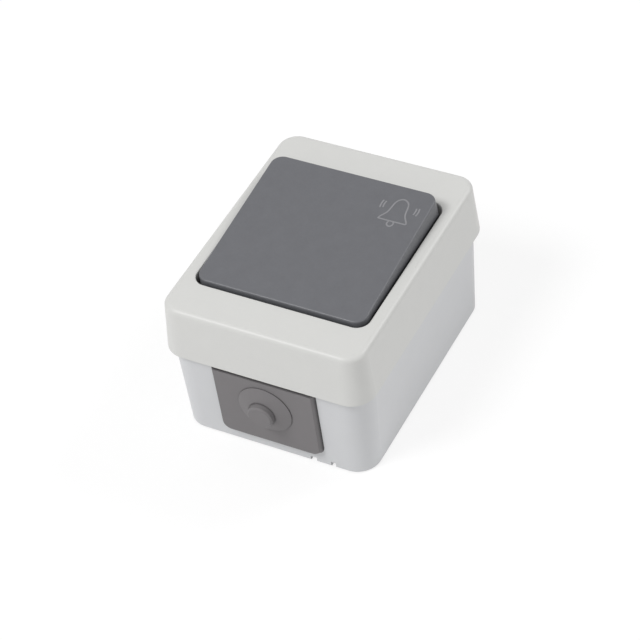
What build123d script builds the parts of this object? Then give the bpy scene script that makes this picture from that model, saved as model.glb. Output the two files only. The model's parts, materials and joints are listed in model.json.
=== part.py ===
from build123d import *
import os
from math import atan2, cos, degrees, radians, sin

# A surface bell push: a back box, a cover with a well, a rocking key and the push mechanism inside.
# Millimetres. The wall is z = 0, +Z points out of it, and the cable grommet's end is -Y.

os.makedirs("parts", exist_ok=True)

# Case
case_width = 66.0
case_length = 84.0
case_height = 48.0
skirt_z = 30.5
cover_lean = 1.4
cover_corner = 7.2
cover_edge = 1.6
cover_wall = 2.2
base_inset = 1.3
base_lean = 1.06
base_corner = 7.0
base_wall = 2.2
base_floor = 2.2
back_rim = 2.0
back_rim_width = 2.2
tongue_height = 2.5
tongue_clearance = 0.25
gasket_thickness = 0.9
gasket_width = 1.4
crisp_edge = 0.4

# Well in the cover, and the key in it
key_width = 54.2
key_length = 52.9
key_depth = 6.7
key_lean = 0.5
key_corner = 4.1
key_edge = 0.5
key_plate = 2.2
key_wall = 1.8
key_gap_side = 0.4
key_gap_near = 0.9
key_gap_far = 0.35
key_rib_spacing = 34.0
key_rib_width = 1.2
key_rib_depth = 2.3
well_corner = 4.0
well_depth = 6.5
well_floor = 1.8
well_wall = 1.6

# Hinge of the key: it rests tilted, with its far end raised, and is pressed through its swing
pivot_depth = 11.5
key_rise = 14.7
key_tilt = 4.9
key_swing = 6.5
trunnion_radius = 1.5
trunnion_clearance = 0.05
hub_radius = 3.0
cheek_radius = 2.9
cheek_spacing = 20.0
cheek_thickness = 3.0
cheek_foot = 10.0
hub_end_gap = 0.2
running_gap = 0.1
touch_gap = 0.05

# Cradle under the key
platform_width = 24.0
platform_length = 18.0
platform_thickness = 2.0
platform_corner = 1.0
neck_width = 14.0
neck_length = 8.0
neck_corner = 0.3
arm_width = 5.0
arm_thickness = 2.4
nose_radius = 1.8
hook_width = 6.0
hook_thickness = 1.0
hook_nib = 0.6
hook_nib_height = 0.7

# Seal round the cradle's neck
window_margin = 1.0
seal_land = 2.0
seal_thickness = 0.8
seal_collar_height = 1.6
seal_collar_wall = 0.8
seal_gap = 1.2

# Mechanism housings
mechanism_depth = 18.0
mechanism_corner = 2.0
top_plate = 2.0
split_drop = 6.5
guide_drop = 2.5
guide_wall = 1.8
chamber_depth = 6.0
chamber_end_gap = 1.25
chamber_margin = 0.3
pocket_depth = 13.0
ear_inset = 4.94
ear_radius = 3.5
ear_thickness = 2.5
rivet_inset_x = 3.5
rivet_inset_y = 4.5
rivet_radius = 1.2
rivet_head_radius = 2.1
rivet_head = 0.8
screw_play = 0.1

# Plunger, spring and contacts
plunger_width = 6.0
plunger_guide_gap = 0.15
shoulder_width = 8.4
spring_coil_radius = 2.4
spring_wire_radius = 0.35
spring_wire_sides = 8
spring_turns = 5
spring_bore_radius = 3.0
strip_width = 3.5
strip_thickness = 0.8
strip_bend = 0.9
strip_play = 0.15
bridge_corner = 0.9
tip_radius = 1.4
fixed_tip_height = 0.8
bridge_tip_height = 0.7
tip_bevel = 0.25
open_gap_spare = 0.045

# Terminals
terminal_y = -8.0
cage_width = 8.0
cage_length = 7.0
cage_height = 8.0
cage_wall = 1.4
cage_top = 2.0
cage_play = 0.4
pocket_wall = 6.6
wire_hole_radius = 2.2
terminal_screw_radius = 1.7
terminal_head_radius = 2.7
terminal_head = 2.0
driver_hole_radius = 3.1

# Screws
mechanism_screw_radius = 1.4
mechanism_head_radius = 2.8
mechanism_head = 1.8
cover_screw_radius = 1.75
cover_screw_length = 18.0
cover_head_radius = 2.9
cover_head = 1.8
cover_head_gap = 0.95
post_radius = 3.4
post_gap = 0.4
gusset_reach = 5.0
gusset_height = 12.0
gusset_width = 1.2
recess_width = 0.9
recess_depth = 0.9
recess_share = 0.6
screw_bevel = 0.5

# Wall fixing, back ribs and drain notches
wall_screw_spacing = 60.0
wall_hole_radius = 3.0
wall_boss_radius = 5.0
back_rib_spacing_x = 30.0
back_rib_spacing_y = 30.0
back_rib_width = 1.4
notches = ((12.5, 2.0, 1.8), (18.85, 1.5, 1.95))

# Cable grommet
grommet_width = 33.4
grommet_proud = 1.4
grommet_bevel = 1.0
grommet_low_z = 4.1
grommet_corner = 3.5
grommet_neck_width = 29.0
grommet_neck_low_z = 6.0
grommet_flange = 1.5
grommet_lip = 2.0
slot_clearance = 0.1
skirt_gap = 0.6
entry_z = 19.2
disc_radius = 8.5
disc_step = 0.3
cone_height = 1.9
nipple_radius = 4.0
nipple_root = 4.5
nipple_height = 2.0
nipple_edge = 0.5
rubber_wall = 1.2

# Levels and places that follow from the driving dimensions
pivot_z = case_height - pivot_depth
well_floor_top = case_height - well_depth
well_floor_low = well_floor_top - well_floor
tongue_top = skirt_z + tongue_height
step_z = tongue_top + gasket_thickness
tongue_width = case_width - 2 * base_inset
tongue_length = case_length - 2 * base_inset
tongue_corner = base_corner + base_lean
back_width = tongue_width - 2 * base_lean
back_length = tongue_length - 2 * base_lean
floor_top = back_rim + base_floor
key_top_length = key_length - 2 * key_lean
press_end = key_swing - key_tilt
opening_width = key_width + 2 * key_gap_side
well_near = -(
    key_top_length / 2 * cos(radians(key_tilt)) + key_rise * sin(radians(key_tilt)) + key_gap_near
)
well_far = (
    key_top_length / 2 * cos(radians(press_end)) + key_rise * sin(radians(press_end)) + key_gap_far
)
opening_length = well_far - well_near
well_middle = (well_near + well_far) / 2
window_width = platform_width + 2 * window_margin
window_length = platform_length + 2 * window_margin
ear_spacing = back_width - 2 * base_wall - 2 * ear_inset
mechanism_width = ear_spacing - 2 * ear_radius
cover_screw_spacing = key_length - 2 * (key_wall + cover_head_gap + cover_head_radius)
mechanism_length = cover_screw_spacing - 2 * (post_radius + post_gap)
rivet_spacing_x = mechanism_width - 2 * rivet_inset_x
rivet_spacing_y = mechanism_length - 2 * rivet_inset_y
pocket_width = cage_width + 2 * cage_play
contact_spacing = mechanism_width - 2 * pocket_wall - pocket_width
chamber_width = contact_spacing + strip_width + 2 * chamber_end_gap
nose_reach = (mechanism_length - plunger_width) / 2 - plunger_guide_gap - guide_wall - touch_gap
split_z = pivot_z - split_drop
plate_top = split_z + top_plate
mechanism_low = split_z - mechanism_depth
chamber_floor = split_z - chamber_depth
pocket_floor = split_z - pocket_depth
ear_top = mechanism_low + ear_thickness
platform_top = key_rise - key_plate
platform_low = platform_top - platform_thickness
plunger_travel = nose_reach * (sin(radians(key_tilt)) + sin(radians(press_end)))
nose_rest_z = pivot_z + nose_reach * sin(radians(key_tilt))
plunger_y = nose_reach
plunger_top = nose_rest_z - nose_radius - touch_gap
plunger_low = chamber_floor + plunger_travel + running_gap
fixed_tip_z = chamber_floor + strip_thickness
bridge_tip_z = fixed_tip_z + fixed_tip_height + plunger_travel + open_gap_spare
bridge_z = bridge_tip_z + bridge_tip_height
tongue_strip_z = pocket_floor + cage_wall + running_gap + strip_thickness / 2

# Planes of the tilted key and of the leaning end wall
tilt = radians(key_tilt)
tilted = Plane(origin=(0, 0, pivot_z), x_dir=(1, 0, 0), z_dir=(0, -sin(tilt), cos(tilt)))
key_up = Axis((0, 0, pivot_z), (0, -sin(tilt), cos(tilt)))
swing_side = Plane(origin=(0, 0, pivot_z), x_dir=(0, cos(tilt), sin(tilt)), z_dir=(1, 0, 0))
wall_lean = atan2(base_lean, skirt_z)
end_wall = Plane(
    origin=(0, -back_length / 2, 0),
    x_dir=(1, 0, 0),
    z_dir=(0, -cos(wall_lean), -sin(wall_lean)),
)


def leaning_block(width, length, corner, low_z, high_z, lean):
    """A rounded block whose four walls lean in by lean between its two levels."""
    with BuildPart() as block:
        with BuildSketch(Plane.XY.offset(low_z)):
            RectangleRounded(width, length, corner)
        extrude(amount=high_z - low_z, taper=degrees(atan2(lean, high_z - low_z)))
    return block.part


def cover_lean_at(z):
    """How far the cover's outside has leaned in at a level."""
    return cover_lean * (z - skirt_z) / (case_height - skirt_z)


def base_lean_at(z):
    """How far the base's outside has leaned out at a level."""
    return base_lean * z / skirt_z


def screw(x, y, head_low, head_height, head_radius, shank_radius, length):
    """A pan-head screw with a cross recess, pointing at the wall."""
    with BuildPart() as body:
        with BuildSketch(Plane.XY.offset(head_low)):
            with Locations((x, y)):
                Circle(head_radius)
        extrude(amount=head_height)
        chamfer(body.edges().sort_by(Axis.Z)[-1], screw_bevel)
        with BuildSketch(Plane.XY.offset(head_low)):
            with Locations((x, y)):
                Circle(shank_radius)
        extrude(amount=-length)
        chamfer(body.edges().sort_by(Axis.Z)[0], screw_bevel)
        with BuildSketch(Plane.XY.offset(head_low + head_height)):
            with Locations((x, y)):
                Rectangle(2 * recess_share * head_radius, recess_width)
                Rectangle(recess_width, 2 * recess_share * head_radius)
        extrude(amount=-recess_depth, mode=Mode.SUBTRACT)
    return body.part


# Back box
base_shell = leaning_block(back_width, back_length, base_corner, 0, skirt_z, -base_lean)
base_cavity = leaning_block(
    back_width + 2 * base_lean_at(floor_top) - 2 * base_wall,
    back_length + 2 * base_lean_at(floor_top) - 2 * base_wall,
    base_corner - base_wall,
    floor_top,
    skirt_z,
    -(base_lean - base_lean_at(floor_top)),
)
with BuildPart() as base_box:
    add(base_shell)
    chamfer(base_box.edges().group_by(Axis.Z)[0], crisp_edge)
    with BuildSketch(Plane.XY.offset(skirt_z)):
        RectangleRounded(tongue_width, tongue_length, tongue_corner)
    extrude(amount=tongue_height)
    add(base_cavity, mode=Mode.SUBTRACT)
    with BuildSketch(Plane.XY.offset(skirt_z)):
        RectangleRounded(
            tongue_width - 2 * base_wall, tongue_length - 2 * base_wall, tongue_corner - base_wall
        )
    extrude(amount=tongue_height, mode=Mode.SUBTRACT)
    # Recessed back with its rim, ribs and screw bosses
    with BuildSketch(Plane.XY):
        RectangleRounded(
            back_width - 2 * back_rim_width,
            back_length - 2 * back_rim_width,
            base_corner - back_rim_width,
        )
        with GridLocations(back_rib_spacing_x, 0, 2, 1):
            Rectangle(back_rib_width, back_length, mode=Mode.SUBTRACT)
        with GridLocations(0, back_rib_spacing_y, 1, 2):
            Rectangle(back_width, back_rib_width, mode=Mode.SUBTRACT)
        with GridLocations(0, wall_screw_spacing, 1, 2):
            Circle(wall_boss_radius, mode=Mode.SUBTRACT)
    extrude(amount=back_rim, mode=Mode.SUBTRACT)
    # Posts for the cover screws, with gussets, and for the mechanism's ears
    with BuildSketch(Plane.XY.offset(floor_top)):
        with GridLocations(0, cover_screw_spacing, 1, 2):
            Circle(post_radius)
    extrude(amount=well_floor_low - floor_top)
    for side_y in (-1, 1):
        with BuildSketch(Plane.XZ.offset(-side_y * cover_screw_spacing / 2)):
            with BuildLine():
                Polyline(
                    (-post_radius - gusset_reach, floor_top),
                    (0, floor_top + gusset_height * (1 + gusset_reach / post_radius) / 2),
                    (post_radius + gusset_reach, floor_top),
                    close=True,
                )
            make_face()
        extrude(amount=gusset_width / 2, both=True)
    with BuildSketch(Plane.XY.offset(floor_top)):
        with GridLocations(ear_spacing, 0, 2, 1):
            Circle(post_radius)
    extrude(amount=mechanism_low - floor_top)
    with BuildSketch(Plane.XY.offset(well_floor_low)):
        with GridLocations(0, cover_screw_spacing, 1, 2):
            Circle(cover_screw_radius + screw_play)
    extrude(amount=-cover_screw_length, mode=Mode.SUBTRACT)
    with BuildSketch(Plane.XY.offset(floor_top)):
        with GridLocations(ear_spacing, 0, 2, 1):
            Circle(mechanism_screw_radius + screw_play)
    extrude(amount=mechanism_low - floor_top, mode=Mode.SUBTRACT)
    with BuildSketch(Plane.XY):
        with GridLocations(0, wall_screw_spacing, 1, 2):
            Circle(wall_hole_radius)
    extrude(amount=floor_top, mode=Mode.SUBTRACT)
    # Slot for the grommet, open at the rim
    with BuildSketch(end_wall) as slot:
        with Locations((0, (grommet_neck_low_z + case_height) / 2)):
            RectangleRounded(
                grommet_neck_width + 2 * slot_clearance,
                case_height - grommet_neck_low_z + 2 * slot_clearance,
                grommet_corner,
            )
    extrude(amount=base_wall + grommet_flange, both=True, mode=Mode.SUBTRACT)
    # Drain notches in the near back rim
    for notch_x, notch_width, notch_height in notches:
        with BuildSketch(Plane.XZ.offset(back_length / 2)):
            with Locations((notch_x, 0)):
                Rectangle(notch_width, notch_height, align=(Align.CENTER, Align.MIN))
        extrude(amount=back_rim_width + crisp_edge, both=True, mode=Mode.SUBTRACT)
base_box.part.label = "base_box"
export_step(base_box.part, "parts/base_box.step")

# Cover with its skirt, its step over the base's rim and the key's well
cover_block = leaning_block(case_width, case_length, cover_corner, skirt_z, case_height, cover_lean)
cover_hollow = leaning_block(
    case_width - 2 * cover_lean_at(step_z) - 2 * cover_wall,
    case_length - 2 * cover_lean_at(step_z) - 2 * cover_wall,
    cover_corner - cover_wall,
    step_z,
    well_floor_low,
    cover_lean_at(well_floor_low) - cover_lean_at(step_z),
)
pocket_end = case_length / 2 - cover_lean - cover_wall
pocket_ends = ((well_near - well_wall, -pocket_end), (well_far + well_wall, pocket_end))
with BuildPart() as cover_frame:
    add(cover_block)
    fillet(cover_frame.faces().sort_by(Axis.Z)[-1].edges(), cover_edge)
    chamfer(cover_frame.faces().sort_by(Axis.Z)[0].edges(), crisp_edge)
    add(cover_hollow, mode=Mode.SUBTRACT)
    with BuildSketch(Plane.XY.offset(skirt_z)):
        RectangleRounded(
            tongue_width + 2 * tongue_clearance,
            tongue_length + 2 * tongue_clearance,
            tongue_corner + tongue_clearance,
        )
    extrude(amount=step_z - skirt_z, mode=Mode.SUBTRACT)
    # Pockets between the well and the end walls
    with BuildSketch(Plane.XY.offset(well_floor_low)):
        for start_y, end_y in pocket_ends:
            with Locations((0, (start_y + end_y) / 2)):
                RectangleRounded(opening_width, abs(end_y - start_y), well_wall)
    extrude(amount=case_height - cover_wall - well_floor_low, mode=Mode.SUBTRACT)
    with BuildSketch(Plane.XY.offset(well_floor_top)):
        with Locations((0, well_middle)):
            RectangleRounded(opening_width, opening_length, well_corner)
    extrude(amount=well_depth, mode=Mode.SUBTRACT)
    fillet(
        cover_frame.edges().filter_by(Plane.XY).group_by(Axis.Z)[-1].filter_by(
            lambda edge: abs(edge.center().X) < opening_width / 2 + crisp_edge
            and abs(edge.center().Y - well_middle) < opening_length / 2 + crisp_edge
        ),
        crisp_edge,
    )
    # Window for the cradle with the seal's recess, and the cover screws' holes
    with BuildSketch(Plane.XY.offset(well_floor_low)):
        RectangleRounded(window_width, window_length, window_margin)
        with GridLocations(0, cover_screw_spacing, 1, 2):
            Circle(cover_screw_radius + screw_play)
    extrude(amount=well_floor, mode=Mode.SUBTRACT)
    with BuildSketch(Plane.XY.offset(well_floor_top)):
        RectangleRounded(
            window_width + 2 * seal_land + 2 * running_gap,
            window_length + 2 * seal_land + 2 * running_gap,
            window_margin + seal_land,
        )
    extrude(amount=-seal_thickness, mode=Mode.SUBTRACT)
cover_frame.part.label = "cover_frame"
export_step(cover_frame.part, "parts/cover_frame.step")

# Gasket between the base's rim and the cover's step
with BuildPart() as cover_gasket:
    with BuildSketch(Plane.XY.offset(tongue_top)):
        RectangleRounded(tongue_width, tongue_length, tongue_corner)
        RectangleRounded(
            tongue_width - 2 * gasket_width,
            tongue_length - 2 * gasket_width,
            tongue_corner - gasket_width,
            mode=Mode.SUBTRACT,
        )
    extrude(amount=gasket_thickness)
cover_gasket.part.label = "cover_gasket"
export_step(cover_gasket.part, "parts/cover_gasket.step")

# Cable grommet: bevelled pad, neck in the wall's slot, inner flange, stepped cone and closed nipple
cone_foot = grommet_proud + disc_step
nipple_foot = grommet_proud + cone_height
nipple_end = nipple_foot + nipple_height
with BuildPart() as cable_grommet:
    with BuildSketch(end_wall):
        with Locations((0, grommet_low_z)):
            RectangleRounded(
                grommet_width,
                2 * (skirt_z - grommet_low_z),
                grommet_corner,
                align=(Align.CENTER, Align.MIN),
            )
    extrude(amount=grommet_proud, taper=degrees(atan2(grommet_bevel, grommet_proud)))
    split(bisect_by=Plane.XY.offset(skirt_z - skirt_gap), keep=Keep.BOTTOM)
    with BuildSketch(end_wall.offset(-base_wall - touch_gap)):
        with Locations((0, grommet_neck_low_z - grommet_lip / 2)):
            RectangleRounded(
                grommet_neck_width + 2 * grommet_lip,
                2 * (skirt_z - grommet_neck_low_z),
                grommet_corner,
                align=(Align.CENTER, Align.MIN),
            )
    extrude(amount=-grommet_flange)
    split(bisect_by=Plane.XY.offset(skirt_z), keep=Keep.BOTTOM)
    with BuildSketch(end_wall):
        with Locations((0, grommet_neck_low_z)):
            RectangleRounded(
                grommet_neck_width,
                2 * (skirt_z - grommet_neck_low_z),
                grommet_corner,
                align=(Align.CENTER, Align.MIN),
            )
    extrude(amount=-base_wall - touch_gap)
    split(bisect_by=Plane.XY.offset(tongue_top), keep=Keep.BOTTOM)
    # Cone and nipple, then the hollow behind them
    entry = Plane(
        origin=end_wall.from_local_coords((0, entry_z, 0)),
        x_dir=(1, 0, 0),
        z_dir=(0, -sin(wall_lean), cos(wall_lean)),
    )
    with BuildSketch(entry):
        with BuildLine():
            Polyline(
                (0, 0),
                (disc_radius, 0),
                (disc_radius, -cone_foot),
                (nipple_root, -nipple_foot),
                (nipple_radius, -nipple_foot),
                (nipple_radius, nipple_edge - nipple_end),
                (nipple_radius - nipple_edge, -nipple_end),
                (0, -nipple_end),
                close=True,
            )
        make_face()
    revolve(axis=Axis(entry.origin, end_wall.z_dir))
    with BuildSketch(entry):
        with BuildLine():
            Polyline(
                (0, rubber_wall - nipple_end),
                (nipple_radius - rubber_wall, rubber_wall - nipple_end),
                (nipple_radius - rubber_wall, rubber_wall - nipple_foot),
                (disc_radius - rubber_wall, rubber_wall - cone_foot),
                (disc_radius - rubber_wall, base_wall + 2 * grommet_flange),
                (0, base_wall + 2 * grommet_flange),
                close=True,
            )
        make_face()
    revolve(axis=Axis(entry.origin, end_wall.z_dir), mode=Mode.SUBTRACT)
cable_grommet.part.label = "cable_grommet"
export_step(cable_grommet.part, "parts/cable_grommet.step")

# Key: a rounded cap with ribs and two hooks for the cradle's platform
hook_y = platform_length / 2 + running_gap + hook_thickness / 2
hook_depth = platform_thickness + running_gap + hook_nib_height
with BuildPart() as rocker_key:
    with BuildSketch(tilted.offset(key_rise - key_depth)):
        RectangleRounded(key_width, key_length, key_corner)
    extrude(amount=key_depth, taper=degrees(atan2(key_lean, key_depth)))
    fillet(rocker_key.faces().sort_by(key_up)[-1].edges(), key_edge)
    with BuildSketch(tilted.offset(key_rise - key_depth)):
        RectangleRounded(key_width - 2 * key_wall, key_length - 2 * key_wall, key_corner - key_wall)
    extrude(amount=key_depth - key_plate, mode=Mode.SUBTRACT)
    with BuildSketch(tilted.offset(platform_top)):
        with GridLocations(key_rib_spacing, 0, 2, 1):
            Rectangle(key_rib_width, key_length - key_wall)
    extrude(amount=-key_rib_depth)
    with BuildSketch(tilted.offset(platform_top)):
        with GridLocations(0, 2 * hook_y, 1, 2):
            Rectangle(hook_width, hook_thickness)
    extrude(amount=-hook_depth)
    with BuildSketch(tilted.offset(platform_top - hook_depth)):
        with GridLocations(0, 2 * hook_y - hook_nib, 1, 2):
            Rectangle(hook_width, hook_thickness + hook_nib)
    extrude(amount=hook_nib_height)
rocker_key.part.label = "rocker_key"
export_step(rocker_key.part, "parts/rocker_key.step")

# Cradle: hub with trunnions, neck through the window, platform, and nose and stop arms
hub_length = cheek_spacing - 2 * hub_end_gap
trunnion_length = cheek_spacing + 2 * cheek_thickness - 2 * hub_end_gap
with BuildPart() as rocker_cradle:
    with BuildSketch(swing_side):
        Circle(hub_radius)
    extrude(amount=hub_length / 2, both=True)
    with BuildSketch(swing_side):
        Circle(trunnion_radius)
    extrude(amount=trunnion_length / 2, both=True)
    with BuildSketch(tilted):
        RectangleRounded(neck_width, neck_length, neck_corner)
    extrude(amount=platform_low)
    with BuildSketch(tilted.offset(platform_low)):
        RectangleRounded(platform_width, platform_length, platform_corner)
    extrude(amount=platform_thickness)
    with BuildSketch(tilted.offset(platform_top)):
        with GridLocations(neck_width / 2, 0, 2, 1):
            Rectangle(neck_width / 2 - key_wall, neck_length - 2 * key_wall)
    extrude(amount=hub_radius - platform_top, mode=Mode.SUBTRACT)
    with BuildSketch(swing_side):
        with Locations((nose_reach, 0)):
            Circle(nose_radius)
        Rectangle(2 * nose_reach, arm_thickness)
    extrude(amount=arm_width / 2, both=True)
rocker_cradle.part.label = "rocker_cradle"
export_step(rocker_cradle.part, "parts/rocker_cradle.step")

# Seal: a flat frame in its recess, with a collar round the cradle's neck
seal_hole_width = neck_width + 2 * seal_gap
seal_hole_length = neck_length + 2 * seal_gap
with BuildPart() as actuator_seal:
    with BuildSketch(Plane.XY.offset(well_floor_top - seal_thickness)):
        RectangleRounded(
            window_width + 2 * seal_land, window_length + 2 * seal_land, window_margin + seal_land
        )
    extrude(amount=seal_thickness)
    with BuildSketch(Plane.XY.offset(well_floor_top)):
        RectangleRounded(
            seal_hole_width + 2 * seal_collar_wall,
            seal_hole_length + 2 * seal_collar_wall,
            2 * seal_collar_wall,
        )
    extrude(amount=seal_collar_height)
    with BuildSketch(Plane.XY.offset(well_floor_top - seal_thickness)):
        RectangleRounded(seal_hole_width, seal_hole_length, seal_collar_wall)
    extrude(amount=seal_thickness + seal_collar_height, mode=Mode.SUBTRACT)
actuator_seal.part.label = "actuator_seal"
export_step(actuator_seal.part, "parts/actuator_seal.step")

# Lower housing: ears, contact chamber, strip channels, terminal pockets, spring bore and wire holes
chamber_length = plunger_width + 2 * chamber_margin
leg_y = terminal_y + cage_length / 2 + running_gap + strip_thickness
pocket_low_y = terminal_y - cage_length / 2 - cage_play
pocket_high_y = leg_y + strip_bend
with BuildPart() as mechanism_base:
    with BuildSketch(Plane.XY.offset(mechanism_low)):
        RectangleRounded(mechanism_width, mechanism_length, mechanism_corner)
    extrude(amount=mechanism_depth)
    with BuildSketch(Plane.XY.offset(mechanism_low)):
        SlotCenterToCenter(ear_spacing, 2 * ear_radius)
    extrude(amount=ear_thickness)
    with BuildSketch(Plane.XY.offset(mechanism_low)):
        with GridLocations(ear_spacing, 0, 2, 1):
            Circle(mechanism_screw_radius + screw_play)
    extrude(amount=ear_thickness, mode=Mode.SUBTRACT)
    with BuildSketch(Plane.XY.offset(split_z)):
        with Locations((0, plunger_y)):
            Rectangle(chamber_width, chamber_length)
        with GridLocations(contact_spacing, 0, 2, 1):
            with Locations((0, pocket_low_y)):
                Rectangle(
                    strip_width + 2 * strip_play,
                    plunger_y - pocket_low_y,
                    align=(Align.CENTER, Align.MIN),
                )
    extrude(amount=-chamber_depth, mode=Mode.SUBTRACT)
    with BuildSketch(Plane.XY.offset(split_z)):
        with GridLocations(contact_spacing, 0, 2, 1):
            with Locations((0, pocket_low_y)):
                Rectangle(
                    pocket_width, pocket_high_y - pocket_low_y, align=(Align.CENTER, Align.MIN)
                )
        with Locations((0, plunger_y)):
            Circle(spring_bore_radius)
    extrude(amount=-pocket_depth, mode=Mode.SUBTRACT)
    with BuildSketch(Plane.XZ.offset(mechanism_length / 2)):
        with GridLocations(contact_spacing, 0, 2, 1):
            with Locations((0, tongue_strip_z + strip_thickness / 2 + wire_hole_radius)):
                Circle(wire_hole_radius)
    extrude(amount=-(mechanism_length / 2 + pocket_low_y), mode=Mode.SUBTRACT)
    with BuildSketch(Plane.XY.offset(mechanism_low)):
        with GridLocations(rivet_spacing_x, rivet_spacing_y, 2, 2):
            Circle(rivet_radius + screw_play)
    extrude(amount=mechanism_depth, mode=Mode.SUBTRACT)
mechanism_base.part.label = "mechanism_base"
export_step(mechanism_base.part, "parts/mechanism_base.step")

# Upper housing: plate, plunger guide, stop post, driver holes and the hinge's cheeks
stop_z = pivot_z - nose_reach * sin(tilt) - arm_thickness / 2 * cos(tilt) - touch_gap
guide_hole = plunger_width + 2 * plunger_guide_gap
with BuildPart() as mechanism_top:
    with BuildSketch(Plane.XY.offset(split_z)):
        RectangleRounded(mechanism_width, mechanism_length, mechanism_corner)
    extrude(amount=top_plate)
    with BuildSketch(Plane.XY.offset(plate_top)):
        with Locations((0, plunger_y)):
            Rectangle(guide_hole + 2 * guide_wall, guide_hole + 2 * guide_wall)
    extrude(amount=pivot_z - guide_drop - plate_top)
    with BuildSketch(Plane.XY.offset(plate_top)):
        with Locations((0, -nose_reach)):
            Rectangle(arm_width, arm_thickness)
    extrude(amount=stop_z - plate_top)
    with BuildSketch(Plane.XY.offset(split_z)):
        with Locations((0, plunger_y)):
            Rectangle(guide_hole, guide_hole)
        with GridLocations(contact_spacing, 0, 2, 1):
            with Locations((0, terminal_y)):
                Circle(driver_hole_radius)
        with GridLocations(rivet_spacing_x, rivet_spacing_y, 2, 2):
            Circle(rivet_radius + screw_play)
    extrude(amount=pivot_z - split_z, mode=Mode.SUBTRACT)
    for side in (-1, 1):
        cheek_middle = side * (cheek_spacing + cheek_thickness) / 2
        with BuildSketch(Plane.YZ.offset(cheek_middle)):
            with Locations((0, pivot_z)):
                Circle(cheek_radius)
            with BuildLine():
                Polyline(
                    (-cheek_foot / 2, plate_top),
                    (-cheek_radius, pivot_z),
                    (cheek_radius, pivot_z),
                    (cheek_foot / 2, plate_top),
                    close=True,
                )
            make_face()
            with Locations((0, pivot_z)):
                Circle(trunnion_radius + trunnion_clearance, mode=Mode.SUBTRACT)
        extrude(amount=cheek_thickness / 2, both=True)
mechanism_top.part.label = "mechanism_top"
export_step(mechanism_top.part, "parts/mechanism_top.step")

# Plunger: a stem with shoulders under the guide, and a window for the bridge
with BuildPart() as plunger:
    with BuildSketch(Plane.XY.offset(plunger_low)):
        with Locations((0, plunger_y)):
            Rectangle(plunger_width, plunger_width)
    extrude(amount=plunger_top - plunger_low)
    with BuildSketch(Plane.XY.offset(plunger_low)):
        with Locations((0, plunger_y)):
            Rectangle(shoulder_width, plunger_width)
    extrude(amount=split_z - plunger_guide_gap - plunger_low)
    with BuildSketch(Plane.YZ):
        with Locations((plunger_y, bridge_z + strip_thickness / 2)):
            Rectangle(strip_width + 2 * touch_gap, strip_thickness + 2 * touch_gap)
    extrude(amount=shoulder_width / 2, both=True, mode=Mode.SUBTRACT)
plunger.part.label = "plunger"
export_step(plunger.part, "parts/plunger.step")

# Contact bridge through the plunger
with BuildPart() as contact_bridge:
    with BuildSketch(Plane.XY.offset(bridge_z)):
        with Locations((0, plunger_y)):
            RectangleRounded(contact_spacing + strip_width, strip_width, bridge_corner)
    extrude(amount=strip_thickness)
contact_bridge.part.label = "contact_bridge"
export_step(contact_bridge.part, "parts/contact_bridge.step")

# Return spring under the plunger
spring_low = pocket_floor + spring_wire_radius + touch_gap
spring_high = plunger_low - spring_wire_radius - touch_gap
with BuildPart() as return_spring:
    with BuildLine() as coil:
        Helix(
            pitch=(spring_high - spring_low) / spring_turns,
            height=spring_high - spring_low,
            radius=spring_coil_radius,
            center=(0, plunger_y, spring_low),
        )
    with BuildSketch(Plane(origin=coil.line @ 0, z_dir=coil.line % 0)):
        RegularPolygon(spring_wire_radius, spring_wire_sides)
    sweep(path=coil.line, is_frenet=True)
return_spring.part.label = "return_spring"
export_step(return_spring.part, "parts/return_spring.step")

# Rivets that hold the two housings together
with BuildPart() as housing_rivets:
    with BuildSketch(Plane.XY.offset(mechanism_low)):
        with GridLocations(rivet_spacing_x, rivet_spacing_y, 2, 2):
            Circle(rivet_radius)
    extrude(amount=plate_top - mechanism_low)
    with BuildSketch(Plane.XY.offset(plate_top)):
        with GridLocations(rivet_spacing_x, rivet_spacing_y, 2, 2):
            Circle(rivet_head_radius)
    extrude(amount=rivet_head)
    with BuildSketch(Plane.XY.offset(mechanism_low)):
        with GridLocations(rivet_spacing_x, rivet_spacing_y, 2, 2):
            Circle(rivet_head_radius)
    extrude(amount=-rivet_head)
housing_rivets.part.label = "housing_rivets"
export_step(housing_rivets.part, "parts/housing_rivets.step")

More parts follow.
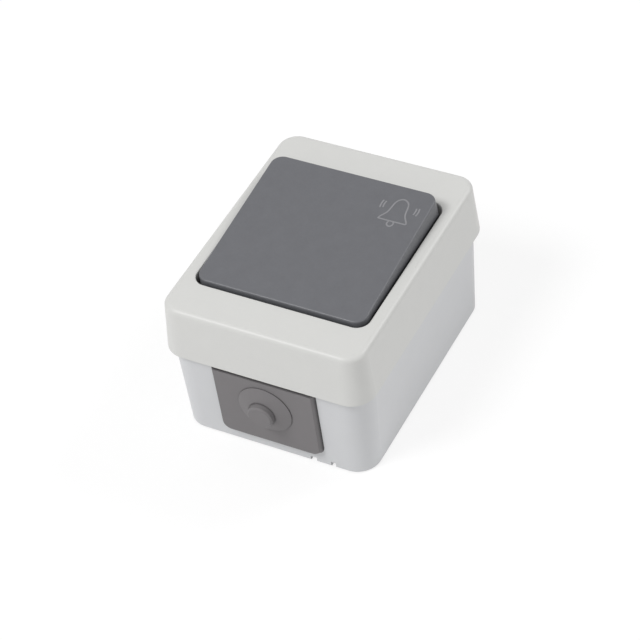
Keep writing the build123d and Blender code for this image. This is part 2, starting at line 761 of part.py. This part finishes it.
# Contacts, terminals and their screws, one set on each side
for name, side in (("left", -1), ("right", 1)):
    contact_x = side * contact_spacing / 2

    # Tips on the bridge and on the fixed strip
    with BuildPart() as bridge_tip:
        with BuildSketch(Plane.XY.offset(bridge_tip_z)):
            with Locations((contact_x, plunger_y)):
                Circle(tip_radius)
        extrude(amount=bridge_tip_height)
        chamfer(bridge_tip.edges().sort_by(Axis.Z)[0], tip_bevel)
    bridge_tip.part.label = f"bridge_tip_{name}"
    export_step(bridge_tip.part, f"parts/bridge_tip_{name}.step")

    with BuildPart() as fixed_tip:
        with BuildSketch(Plane.XY.offset(fixed_tip_z)):
            with Locations((contact_x, plunger_y)):
                Circle(tip_radius)
        extrude(amount=fixed_tip_height)
        chamfer(fixed_tip.edges().sort_by(Axis.Z)[-1], tip_bevel)
    fixed_tip.part.label = f"fixed_tip_{name}"
    export_step(fixed_tip.part, f"parts/fixed_tip_{name}.step")

    # Fixed strip: along the channel, down behind the cage and through it
    with BuildPart() as fixed_contact:
        with BuildLine(Plane.YZ.offset(contact_x)) as strip_path:
            FilletPolyline(
                (plunger_y + strip_width / 2, chamber_floor + strip_thickness / 2),
                (leg_y, chamber_floor + strip_thickness / 2),
                (leg_y, tongue_strip_z),
                (terminal_y - cage_length / 2, tongue_strip_z),
                radius=strip_bend,
            )
        strip_start = Plane(origin=strip_path.line @ 0, x_dir=(1, 0, 0), z_dir=strip_path.line % 0)
        with BuildSketch(strip_start):
            Rectangle(strip_width, strip_thickness)
        sweep(path=strip_path.line)
    fixed_contact.part.label = f"fixed_contact_{name}"
    export_step(fixed_contact.part, f"parts/fixed_contact_{name}.step")

    # Cage: a square sleeve for the wire with a threaded hole on top
    with BuildPart() as terminal_cage:
        with BuildSketch(Plane.XY.offset(pocket_floor)):
            with Locations((contact_x, terminal_y)):
                Rectangle(cage_width, cage_length)
        extrude(amount=cage_height)
        with BuildSketch(Plane.XZ.offset(-terminal_y)):
            with Locations((contact_x, pocket_floor + cage_wall)):
                Rectangle(
                    cage_width - 2 * cage_wall,
                    cage_height - cage_wall - cage_top,
                    align=(Align.CENTER, Align.MIN),
                )
        extrude(amount=cage_length / 2, both=True, mode=Mode.SUBTRACT)
        with BuildSketch(Plane.XY.offset(pocket_floor + cage_height)):
            with Locations((contact_x, terminal_y)):
                Circle(terminal_screw_radius + touch_gap)
        extrude(amount=-cage_top, mode=Mode.SUBTRACT)
    terminal_cage.part.label = f"terminal_cage_{name}"
    export_step(terminal_cage.part, f"parts/terminal_cage_{name}.step")

    cage_lid = pocket_floor + cage_height + strip_thickness
    terminal_screw = screw(
        contact_x,
        terminal_y,
        cage_lid,
        terminal_head,
        terminal_head_radius,
        terminal_screw_radius,
        cage_top + 2 * strip_thickness + cage_wall,
    )
    terminal_screw.label = f"terminal_screw_{name}"
    export_step(terminal_screw, f"parts/terminal_screw_{name}.step")

    mechanism_screw = screw(
        side * ear_spacing / 2,
        0,
        ear_top,
        mechanism_head,
        mechanism_head_radius,
        mechanism_screw_radius,
        ear_top - floor_top - running_gap,
    )
    mechanism_screw.label = f"mechanism_screw_{name}"
    export_step(mechanism_screw, f"parts/mechanism_screw_{name}.step")

# Cover screws, hidden under the key
for name, side in (("near", -1), ("far", 1)):
    cover_screw = screw(
        0,
        side * cover_screw_spacing / 2,
        well_floor_top,
        cover_head,
        cover_head_radius,
        cover_screw_radius,
        well_floor + cover_screw_length - running_gap,
    )
    cover_screw.label = f"cover_screw_{name}"
    export_step(cover_screw, f"parts/cover_screw_{name}.step")
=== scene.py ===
import json
from math import cos, radians, sin, tau

import bmesh
import bpy
from mathutils import Matrix, Vector


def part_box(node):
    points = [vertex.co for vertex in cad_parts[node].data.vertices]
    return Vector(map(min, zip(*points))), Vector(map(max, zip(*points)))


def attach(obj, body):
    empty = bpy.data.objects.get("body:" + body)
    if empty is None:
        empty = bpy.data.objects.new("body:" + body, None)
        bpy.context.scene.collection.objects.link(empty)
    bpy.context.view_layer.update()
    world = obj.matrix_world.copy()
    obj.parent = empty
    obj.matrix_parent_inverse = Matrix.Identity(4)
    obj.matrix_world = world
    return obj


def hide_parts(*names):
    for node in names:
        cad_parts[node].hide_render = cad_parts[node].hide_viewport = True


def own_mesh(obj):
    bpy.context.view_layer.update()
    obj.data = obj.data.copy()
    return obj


# A surface bell push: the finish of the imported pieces, the bell sign, the spring's wire, the screw
# threads, the floor, the light and the camera. All is in metres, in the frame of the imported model.

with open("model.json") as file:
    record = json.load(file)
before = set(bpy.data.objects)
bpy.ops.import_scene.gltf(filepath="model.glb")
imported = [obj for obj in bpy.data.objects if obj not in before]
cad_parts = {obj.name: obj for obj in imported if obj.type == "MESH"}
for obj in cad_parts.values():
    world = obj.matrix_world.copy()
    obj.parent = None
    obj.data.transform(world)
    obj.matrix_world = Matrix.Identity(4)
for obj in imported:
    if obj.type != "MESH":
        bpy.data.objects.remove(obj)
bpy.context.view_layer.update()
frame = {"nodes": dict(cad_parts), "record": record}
NODES = frame["nodes"]
MM = 0.001

# Camera, fitted to the case's edges in the photograph
PHOTO_SIZE = 640
CAMERA_AZIMUTH = radians(32.12)
CAMERA_ELEVATION = radians(44.37)
CAMERA_ROLL = radians(-7.88)
CAMERA_DISTANCE = 692.2 * MM
CAMERA_FOCAL_PIXELS = 2354.06
CAMERA_AIM = Vector((0, 0, 25 * MM))
CAMERA_SLIDE = (2.44 * MM, 6.28 * MM)
SENSOR_WIDTH = 36.0
CLIP_NEAR = 10 * MM
CLIP_FAR = 20

# Lamps: azimuth and elevation in degrees, distance and size in metres, power in watts
LAMPS = {
    "key_light": (-34, 53, 1.3, 0.5, 8.0),
    "fill_light": (75, 35, 1.6, 1.2, 1.2),
    "back_light": (140, 42, 1.4, 0.5, 4.3),
}

# Surroundings and floor
WORLD_LIGHT = 0.5
WORLD_WHITE = 1.0
FLOOR_HALF = 3.0
FLOOR_DROP = 0.05 * MM
FLOOR_PAINT = (0.9, 0.9, 0.9, 1)
FLOOR_GLOW = 1.1
FLOOR_SHADOW_SHARE = 0.3

# Key's tilt at rest
KEY_TILT = radians(4.9)

# Bell sign, in millimetres on the key's top face, from the face's centre
SIGN_X = 17.85
SIGN_FOOT = 12.2
SIGN_TOP = 21.15
SIGN_HALF_WIDTH = 4.5
SIGN_LINE = 0.5
SIGN_PROUD = 0.03
SIGN_BEVEL_STEPS = 3
SIGN_CURVE_ORDER = 3
SIGN_CURVE_STEPS = 6
# Right half of the bell's outline, in shares of the half width and of the height over the foot
BELL_SIDE = (
    (0.86, 0.0), (1.0, 0.0), (0.9, 0.11), (0.76, 0.21), (0.62, 0.33),
    (0.55, 0.48), (0.515, 0.66), (0.43, 0.85), (0.23, 0.96),
)
CLAPPER_SHIFT = -0.15
CLAPPER_DROP = 0.95
CLAPPER_RADIUS_ACROSS = 0.95
CLAPPER_RADIUS_ALONG = 1.1
CLAPPER_DEGREES = range(130, 411, 20)
ARC_HEIGHT = 5.5
ARC_REACHES = (4.95, 5.85)
ARC_DEGREES = range(-15, 16, 5)

# Return spring
SPRING_WIRE = 0.35 * MM
SPRING_WIRE_SIDES = 12
SPRING_TURNS = 6
SPRING_CLOSED_TURNS = 1
SPRING_STEPS = 32

# Threads: for each screw, its shank's radius, its head's height and its pitch
THREADED_SCREWS = {
    "cover_screw_near": (1.75 * MM, 1.8 * MM, 0.9 * MM),
    "cover_screw_far": (1.75 * MM, 1.8 * MM, 0.9 * MM),
    "mechanism_screw_left": (1.4 * MM, 1.8 * MM, 0.8 * MM),
    "mechanism_screw_right": (1.4 * MM, 1.8 * MM, 0.8 * MM),
}
THREAD_STEPS = 24
THREAD_PROUD = 0.08 * MM
THREAD_SUNK = 0.05 * MM
THREAD_HALF_ROOT = 0.3

# Colours, linear
COVER_GREY = (0.715, 0.715, 0.697)
BASE_GREY = (0.68, 0.687, 0.702)
KEY_GREY = (0.146, 0.149, 0.162)
GROMMET_GREY = (0.199, 0.189, 0.194)
SIGN_GREY = (0.27, 0.27, 0.285)
SEAL_BLACK = (0.02, 0.02, 0.021)
MECHANISM_BLACK = (0.035, 0.035, 0.038)
CRADLE_WHITE = (0.74, 0.74, 0.71)
BRASS = (0.80, 0.58, 0.26)
SILVER = (0.86, 0.85, 0.82)
ZINC = (0.62, 0.63, 0.64)

# Texture of the moulded pieces, and painted shade in their crevices. A crevice's painted shade is
# its distance in millimetres, then the openness at which it is darkest, the openness at which it is
# plain, and its darkest value.
NEUTRAL_HALF = 0.5
SPECK_SIZE = 0.7 * MM
GLOSS_PATCH = 2.5 * MM
GLOSS_SPREAD = 0.035
OCCLUSION_SAMPLES = 8
PLAIN_CREVICE_SHADE = (1.0, 0.1, 0.6, 0.05)

# Texture of the metal pieces and of the ink
LINES_TONE = (0.46, 0.5)
LINES_SMOOTHER = 0.08
LINES_ROUGHER = 0.1
TARNISH_PATCH = 3 * MM
TARNISH_TONE = (0.44, 0.52)
METAL_BUMP = 0.004 * MM
INK_BLOT = 0.5 * MM
INK_TONE = (0.85, 1.15)
INK_GLOSS_PATCH = 0.8 * MM
INK_ROUGHNESS = (0.45, 0.6)
INK_GRAIN = 0.15 * MM
INK_BUMP = 0.004 * MM

# Painted shade along the left and right edges of the grommet's pad
RIM_SHADE_WIDTH = 0.7 * MM
RIM_SHADE_DARK = 0.18


class Nodes:
    """A material's node tree, with short calls for the nodes that the finishes share."""

    def __init__(self, name):
        self.material = bpy.data.materials.new(name)
        self.material.use_nodes = True
        self.tree = self.material.node_tree
        self.shader = self.tree.nodes["Principled BSDF"]
        self.place = self.tree.nodes.new("ShaderNodeTexCoord").outputs["Object"]

    def new(self, kind, **values):
        node = self.tree.nodes.new(kind)
        for key, value in values.items():
            setattr(node, key, value)
        return node

    def link(self, source, target):
        self.tree.links.new(source, target)

    def noise(self, size, detail=2.0, roughness=0.5, stretch=None):
        """Noise whose features are size metres across, from 0 to 1."""
        node = self.new("ShaderNodeTexNoise")
        node.inputs["Scale"].default_value = 1.0 / size
        node.inputs["Detail"].default_value = detail
        node.inputs["Roughness"].default_value = roughness
        if stretch is None:
            self.link(self.place, node.inputs["Vector"])
        else:
            mapping = self.new("ShaderNodeMapping")
            mapping.inputs["Scale"].default_value = stretch
            self.link(self.place, mapping.inputs["Vector"])
            self.link(mapping.outputs["Vector"], node.inputs["Vector"])
        return node.outputs["Fac"]

    def spread(self, value, low, high):
        """A 0 to 1 value moved to the range from low to high."""
        node = self.new("ShaderNodeMapRange")
        node.inputs["To Min"].default_value = low
        node.inputs["To Max"].default_value = high
        self.link(value, node.inputs["Value"])
        return node.outputs["Result"]

    def smooth_step(self, value, start, end, low, high):
        """From low at start to high at end, with soft ends."""
        node = self.new("ShaderNodeMapRange", interpolation_type="SMOOTHSTEP")
        node.inputs["From Min"].default_value = start
        node.inputs["From Max"].default_value = end
        node.inputs["To Min"].default_value = low
        node.inputs["To Max"].default_value = high
        self.link(value, node.inputs["Value"])
        return node.outputs["Result"]

    def combine(self, operation, first, second):
        node = self.new("ShaderNodeMath", operation=operation)
        self.link(first, node.inputs[0])
        self.link(second, node.inputs[1])
        return node.outputs["Value"]

    def crevice_shade(self, distance, closed, open_sky, darkest):
        """Painted shade: 1 in the open, falling to darkest where other surfaces stand closer than
        distance.
        """
        node = self.new("ShaderNodeAmbientOcclusion", samples=OCCLUSION_SAMPLES)
        node.inputs["Distance"].default_value = distance
        return self.smooth_step(node.outputs["AO"], closed, open_sky, darkest, 1)

    def pad_rim_shade(self):
        """Painted shade: 1 over the grommet's pad, falling to RIM_SHADE_DARK at its left and right
        edges.
        """
        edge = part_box("cable_grommet")[1][0]
        place = self.new("ShaderNodeSeparateXYZ")
        self.link(self.place, place.inputs["Vector"])
        across = self.new("ShaderNodeMath", operation="ABSOLUTE")
        self.link(place.outputs["X"], across.inputs[0])
        return self.smooth_step(across.outputs["Value"], edge - RIM_SHADE_WIDTH, edge, 1, RIM_SHADE_DARK)

    def colour(self, base, amount):
        """The base colour, lighter where the amount is over 1 and darker where it is under 1."""
        node = self.new("ShaderNodeHueSaturation")
        node.inputs["Color"].default_value = (*base, 1)
        self.link(amount, node.inputs["Value"])
        self.link(node.outputs["Color"], self.shader.inputs["Base Color"])

    def bump(self, height, depth):
        node = self.new("ShaderNodeBump")
        node.inputs["Distance"].default_value = depth
        node.inputs["Strength"].default_value = 1.0
        self.link(height, node.inputs["Height"])
        self.link(node.outputs["Normal"], self.shader.inputs["Normal"])

    def rough(self, value):
        self.link(value, self.shader.inputs["Roughness"])


def moulded(
    name,
    colour,
    grain,
    depth,
    rough,
    mottle=0.02,
    cloud=6.0,
    crevice_shade=PLAIN_CREVICE_SHADE,
    rim_shade=False,
):
    """Moulded plastic or rubber with a spark-eroded grain, faint flow clouds, uneven gloss and
    painted shade.

    The painted shade darkens its crevices and, for the grommet, its pad's left and right edges.
    The grain's size and depth and the clouds' size are in millimetres.
    """
    made = Nodes(name)
    clouds = made.noise(cloud * MM, detail=4.0, roughness=0.6)
    specks = made.noise(SPECK_SIZE, detail=2.0)
    tone = made.combine(
        "ADD",
        made.spread(clouds, NEUTRAL_HALF - mottle, NEUTRAL_HALF + mottle),
        made.spread(specks, NEUTRAL_HALF - mottle / 2, NEUTRAL_HALF + mottle / 2),
    )
    # Painted shade: the colour gets darker where other surfaces stand close, as in gaps and creases.
    distance, closed, open_sky, darkest = crevice_shade
    shade = made.crevice_shade(distance * MM, closed, open_sky, darkest)
    tone = made.combine("MULTIPLY", tone, shade)
    # Painted shade along the left and right edges of the grommet's pad.
    if rim_shade:
        tone = made.combine("MULTIPLY", tone, made.pad_rim_shade())
    made.colour(colour, tone)
    gloss = made.noise(GLOSS_PATCH, detail=4.0)
    made.rough(made.spread(gloss, rough - GLOSS_SPREAD, rough + GLOSS_SPREAD))
    made.bump(made.noise(grain * MM, detail=3.0, roughness=0.6), depth * MM)
    return made.material


def metal(name, colour, rough, grain, stretch):
    """Drawn or stamped metal with fine lines, grain millimetres apart, and a little tarnish."""
    made = Nodes(name)
    made.shader.inputs["Metallic"].default_value = 1.0
    lines = made.noise(grain * MM, detail=4.0, stretch=stretch)
    tarnish = made.noise(TARNISH_PATCH)
    tone = made.combine(
        "ADD", made.spread(lines, *LINES_TONE), made.spread(tarnish, *TARNISH_TONE)
    )
    made.colour(colour, tone)
    made.rough(made.spread(lines, rough - LINES_SMOOTHER, rough + LINES_ROUGHER))
    made.bump(lines, METAL_BUMP)
    return made.material


def printed(name, colour):
    """Matt ink that lies a little unevenly."""
    ink = Nodes(name)
    ink.colour(colour, ink.spread(ink.noise(INK_BLOT), *INK_TONE))
    ink.rough(ink.spread(ink.noise(INK_GLOSS_PATCH), *INK_ROUGHNESS))
    ink.bump(ink.noise(INK_GRAIN), INK_BUMP)
    return ink.material


# Each moulded finish has painted shade in its crevices; the grommet's rubber also has painted shade
# along its pad's edges.
FINISHES = {
    "cover_plastic": moulded(
        "cover_plastic", COVER_GREY, grain=0.32, depth=0.018, rough=0.4,
        crevice_shade=(0.8, 0.1, 0.47, 0.04),
    ),
    "base_plastic": moulded(
        "base_plastic", BASE_GREY, grain=0.32, depth=0.016, rough=0.42,
        crevice_shade=(0.9, 0.35, 0.75, 0.15),
    ),
    "key_plastic": moulded(
        "key_plastic", KEY_GREY, grain=0.22, depth=0.020, rough=0.36,
        mottle=0.09, cloud=4.0, crevice_shade=(1.25, 0.25, 0.62, 0.03),
    ),
    "grommet_rubber": moulded(
        "grommet_rubber", GROMMET_GREY, grain=0.3, depth=0.015, rough=0.62,
        mottle=0.03, crevice_shade=(1.2, 0.4, 0.85, 0.5), rim_shade=True,
    ),
    "seal_rubber": moulded("seal_rubber", SEAL_BLACK, grain=0.25, depth=0.01, rough=0.6),
    "mechanism_plastic": moulded(
        "mechanism_plastic", MECHANISM_BLACK, grain=0.3, depth=0.01, rough=0.42
    ),
    "cradle_plastic": moulded("cradle_plastic", CRADLE_WHITE, grain=0.3, depth=0.006, rough=0.38),
    "contact_brass": metal("contact_brass", BRASS, rough=0.3, grain=0.12, stretch=(1, 0.08, 1)),
    "contact_silver": metal("contact_silver", SILVER, rough=0.28, grain=0.15, stretch=(1, 1, 1)),
    "zinc_steel": metal("zinc_steel", ZINC, rough=0.32, grain=0.12, stretch=(1, 1, 0.1)),
}


def finish_frame():
    """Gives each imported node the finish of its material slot."""
    slot_of = {row["node"]: row["material_slot"] for row in frame["record"]["subparts"]}
    for name, node in NODES.items():
        node.data.materials.clear()
        node.data.materials.append(FINISHES[slot_of[name]])


def place_object(name, data):
    placed = bpy.data.objects.new(name, data)
    bpy.context.scene.collection.objects.link(placed)
    return placed


def shade_smooth(mesh):
    for face in mesh.polygons:
        face.use_smooth = True


def key_plane():
    """The plane of the key's top face: its centre, with y up the key and z out of it."""
    up = Vector((0, -sin(KEY_TILT), cos(KEY_TILT)))
    along = Vector((0, cos(KEY_TILT), sin(KEY_TILT)))
    corners = [vertex.co for vertex in NODES["rocker_key"].data.vertices]
    height = max(point.dot(up) for point in corners)
    reach = [point.dot(along) for point in corners]
    centre = up * height + along * (max(reach) + min(reach)) / 2
    return Matrix.Translation(centre) @ Matrix.Rotation(KEY_TILT, 4, "X")


def bell_strokes():
    """The bell's outline, its clapper and the ringing arcs, each with whether it closes."""
    dome = SIGN_TOP - SIGN_FOOT
    right = [(SIGN_X + u * SIGN_HALF_WIDTH, SIGN_FOOT + v * dome) for u, v in BELL_SIDE]
    left = [(2 * SIGN_X - x, y) for x, y in reversed(right)]
    strokes = [(right + [(SIGN_X, SIGN_TOP)] + left, True)]
    clapper_x = SIGN_X + CLAPPER_SHIFT
    clapper_y = SIGN_FOOT - CLAPPER_DROP
    clapper = [
        (
            clapper_x + CLAPPER_RADIUS_ACROSS * cos(radians(turn)),
            clapper_y + CLAPPER_RADIUS_ALONG * sin(radians(turn)),
        )
        for turn in CLAPPER_DEGREES
    ]
    strokes.append((clapper, False))
    arc_y = SIGN_FOOT + ARC_HEIGHT
    for side in (-1, 1):
        for reach in ARC_REACHES:
            arc = [
                (SIGN_X + side * reach * cos(radians(turn)), arc_y + reach * sin(radians(turn)))
                for turn in ARC_DEGREES
            ]
            strokes.append((arc, False))
    return strokes


def bell_sign():
    """The bell sign: fine printed lines, a hair proud of the key."""
    curve = bpy.data.curves.new("bell_sign", "CURVE")
    curve.dimensions = "3D"
    curve.bevel_depth = SIGN_LINE / 2
    curve.bevel_resolution = SIGN_BEVEL_STEPS
    curve.use_fill_caps = True
    for points, closed in bell_strokes():
        spline = curve.splines.new("NURBS")
        spline.points.add(len(points) - 1)
        for point, (x, y) in zip(spline.points, points):
            point.co = (x, y, 0, 1)
        spline.order_u = SIGN_CURVE_ORDER
        spline.use_endpoint_u = True
        spline.use_cyclic_u = closed
        spline.resolution_u = SIGN_CURVE_STEPS
    tube = place_object("bell_sign_line", curve)
    bpy.context.view_layer.update()
    evaluated = tube.evaluated_get(bpy.context.evaluated_depsgraph_get())
    mesh = bpy.data.meshes.new_from_object(evaluated)
    bpy.data.objects.remove(tube)
    flatten = Matrix.Diagonal((MM, MM, MM * SIGN_PROUD / (SIGN_LINE / 2), 1))
    mesh.transform(key_plane() @ flatten)
    mesh.name = "bell_sign"
    shade_smooth(mesh)
    sign = place_object("bell_sign", mesh)
    mesh.materials.clear()
    mesh.materials.append(printed("sign_ink", SIGN_GREY))
    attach(sign, "key")


def swept_ring(name, path_points, ring):
    """A mesh swept along a coil's points, each with its turn round the coil's axis.

    The ring's (outward, upward) offsets turn with the points, so that outward leads from the axis.
    """
    verts = []
    for x, y, z, turn in path_points:
        for outward, upward in ring:
            verts.append((x + outward * cos(turn), y + outward * sin(turn), z + upward))
    count = len(ring)
    faces = []
    for step in range(len(path_points) - 1):
        for side in range(count):
            after = (side + 1) % count
            base = step * count
            faces.append((base + side, base + after, base + count + after, base + count + side))
    faces.append(tuple(reversed(range(count))))
    faces.append(tuple(range(len(verts) - count, len(verts))))
    mesh = bpy.data.meshes.new(name)
    mesh.from_pydata(verts, [], faces)
    shade_smooth(mesh)
    form = bmesh.new()
    form.from_mesh(mesh)
    bmesh.ops.recalc_face_normals(form, faces=form.faces)
    form.to_mesh(mesh)
    form.free()
    return place_object(name, mesh)


def coil_spring():
    """The return spring with round wire and closed ends, in place of the plain solid."""
    low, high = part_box("return_spring")
    centre_x = (low[0] + high[0]) / 2
    centre_y = (low[1] + high[1]) / 2
    coil_radius = (high[0] - low[0]) / 2 - SPRING_WIRE
    start_z = low[2] + SPRING_WIRE
    height = high[2] - low[2] - 2 * SPRING_WIRE
    closed_rise = 2 * SPRING_WIRE * SPRING_CLOSED_TURNS
    active_turns = SPRING_TURNS - 2 * SPRING_CLOSED_TURNS
    points = []
    for step in range(SPRING_TURNS * SPRING_STEPS + 1):
        turns = step / SPRING_STEPS
        if turns < SPRING_CLOSED_TURNS:
            z = 2 * SPRING_WIRE * turns
        elif turns > SPRING_TURNS - SPRING_CLOSED_TURNS:
            z = height - 2 * SPRING_WIRE * (SPRING_TURNS - turns)
        else:
            active_share = (turns - SPRING_CLOSED_TURNS) / active_turns
            z = closed_rise + (height - 2 * closed_rise) * active_share
        turn = tau * turns
        x = centre_x + coil_radius * cos(turn)
        y = centre_y + coil_radius * sin(turn)
        points.append((x, y, start_z + z, turn))
    ring = []
    for side in range(SPRING_WIRE_SIDES):
        angle = tau * side / SPRING_WIRE_SIDES
        ring.append((SPRING_WIRE * cos(angle), SPRING_WIRE * sin(angle)))
    spring = swept_ring("coil_spring", points, ring)
    spring.data.materials.append(FINISHES["zinc_steel"])
    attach(spring, "case")
    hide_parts("return_spring")
    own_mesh(spring)


def screw_thread(node, shank_radius, head_height, pitch):
    """The thread on a screw's shank: a fine ridge that winds down to its tip."""
    low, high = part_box(node)
    centre_x = (low[0] + high[0]) / 2
    centre_y = (low[1] + high[1]) / 2
    top_z = high[2] - head_height - pitch
    turns = int((top_z - low[2] - pitch) / pitch)
    points = []
    for step in range(turns * THREAD_STEPS + 1):
        turn = tau * step / THREAD_STEPS
        x = centre_x + shank_radius * cos(turn)
        y = centre_y + shank_radius * sin(turn)
        points.append((x, y, top_z - pitch * step / THREAD_STEPS, turn))
    half_root = THREAD_HALF_ROOT * pitch
    ring = [(-THREAD_SUNK, -half_root), (THREAD_PROUD, 0), (-THREAD_SUNK, half_root)]
    thread = swept_ring(f"{node}_thread", points, ring)
    thread.data.materials.append(FINISHES["zinc_steel"])
    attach(thread, "case")


def direction(azimuth, elevation):
    """The way from the object at an azimuth, 0 at the grommet's end, and an elevation."""
    return Vector((
        sin(azimuth) * cos(elevation),
        -cos(azimuth) * cos(elevation),
        sin(elevation),
    ))


def area_light(name, azimuth, elevation, distance, size, power):
    """A round soft box that faces the object, placed by its direction."""
    away = direction(radians(azimuth), radians(elevation))
    light = bpy.data.lights.new(name, "AREA")
    light.shape = "DISK"
    light.size = size
    light.energy = power
    lamp = place_object(name, light)
    lamp.location = CAMERA_AIM + away * distance
    lamp.rotation_mode = "QUATERNION"
    lamp.rotation_quaternion = away.to_track_quat("Z", "Y")


def seen_directly(tree):
    """1 where a camera, mirror or glass ray meets the surface, and 0 for the light it gives."""
    path = tree.nodes.new("ShaderNodeLightPath")
    total = path.outputs["Is Camera Ray"]
    for ray in ("Is Glossy Ray", "Is Transmission Ray"):
        both = tree.nodes.new("ShaderNodeMath")
        both.operation = "MAXIMUM"
        tree.links.new(total, both.inputs[0])
        tree.links.new(path.outputs[ray], both.inputs[1])
        total = both.outputs["Value"]
    return total


def white_surroundings():
    """A world that lights the object plainly and shows as white."""
    world = bpy.data.worlds.new("studio")
    world.use_nodes = True
    tree = world.node_tree
    tree.nodes.clear()
    mix = tree.nodes.new("ShaderNodeMixShader")
    tree.links.new(seen_directly(tree), mix.inputs["Fac"])
    for number, strength in ((1, WORLD_LIGHT), (2, WORLD_WHITE)):
        background = tree.nodes.new("ShaderNodeBackground")
        background.inputs["Strength"].default_value = strength
        tree.links.new(background.outputs["Background"], mix.inputs[number])
    output = tree.nodes.new("ShaderNodeOutputWorld")
    tree.links.new(mix.outputs["Shader"], output.inputs["Surface"])
    bpy.context.scene.world = world


def white_floor():
    """A pale floor, just clear of the back, that shows white and keeps some of the shadow."""
    mesh = bpy.data.meshes.new("floor")
    form = bmesh.new()
    bmesh.ops.create_grid(form, x_segments=1, y_segments=1, size=FLOOR_HALF)
    form.to_mesh(mesh)
    form.free()
    floor = place_object("floor", mesh)
    floor.location.z = -FLOOR_DROP
    paint = bpy.data.materials.new("floor_paint")
    paint.use_nodes = True
    tree = paint.node_tree
    tree.nodes.clear()
    matt = tree.nodes.new("ShaderNodeBsdfDiffuse")
    matt.inputs["Color"].default_value = FLOOR_PAINT
    glow = tree.nodes.new("ShaderNodeEmission")
    glow.inputs["Strength"].default_value = FLOOR_GLOW
    share = tree.nodes.new("ShaderNodeMath")
    share.operation = "MULTIPLY"
    share.inputs[1].default_value = 1 - FLOOR_SHADOW_SHARE
    tree.links.new(seen_directly(tree), share.inputs[0])
    mix = tree.nodes.new("ShaderNodeMixShader")
    tree.links.new(share.outputs["Value"], mix.inputs["Fac"])
    tree.links.new(matt.outputs["BSDF"], mix.inputs[1])
    tree.links.new(glow.outputs["Emission"], mix.inputs[2])
    output = tree.nodes.new("ShaderNodeOutputMaterial")
    tree.links.new(mix.outputs["Shader"], output.inputs["Surface"])
    mesh.materials.append(paint)


def photo_camera():
    """The camera that sees the object as the photograph does."""
    back = direction(CAMERA_AZIMUTH, CAMERA_ELEVATION)
    level = Vector((cos(CAMERA_AZIMUTH), sin(CAMERA_AZIMUTH), 0))
    upright = back.cross(level)
    right = level * cos(CAMERA_ROLL) + upright * sin(CAMERA_ROLL)
    up = upright * cos(CAMERA_ROLL) - level * sin(CAMERA_ROLL)
    slide = right * CAMERA_SLIDE[0] + up * CAMERA_SLIDE[1]
    place = CAMERA_AIM + back * CAMERA_DISTANCE - slide
    data = bpy.data.cameras.new("camera")
    data.sensor_width = SENSOR_WIDTH
    data.lens = SENSOR_WIDTH * CAMERA_FOCAL_PIXELS / PHOTO_SIZE
    data.clip_start = CLIP_NEAR
    data.clip_end = CLIP_FAR
    camera = place_object("camera", data)
    camera.matrix_world = Matrix((
        (right.x, up.x, back.x, place.x),
        (right.y, up.y, back.y, place.y),
        (right.z, up.z, back.z, place.z),
        (0, 0, 0, 1),
    ))
    bpy.context.scene.camera = camera


photo_camera()
white_surroundings()
white_floor()
for lamp_name, lamp_values in LAMPS.items():
    area_light(lamp_name, *lamp_values)
finish_frame()
bell_sign()
coil_spring()
for node_name, thread_values in THREADED_SCREWS.items():
    screw_thread(node_name, *thread_values)
bpy.context.scene.view_settings.view_transform = "Standard"
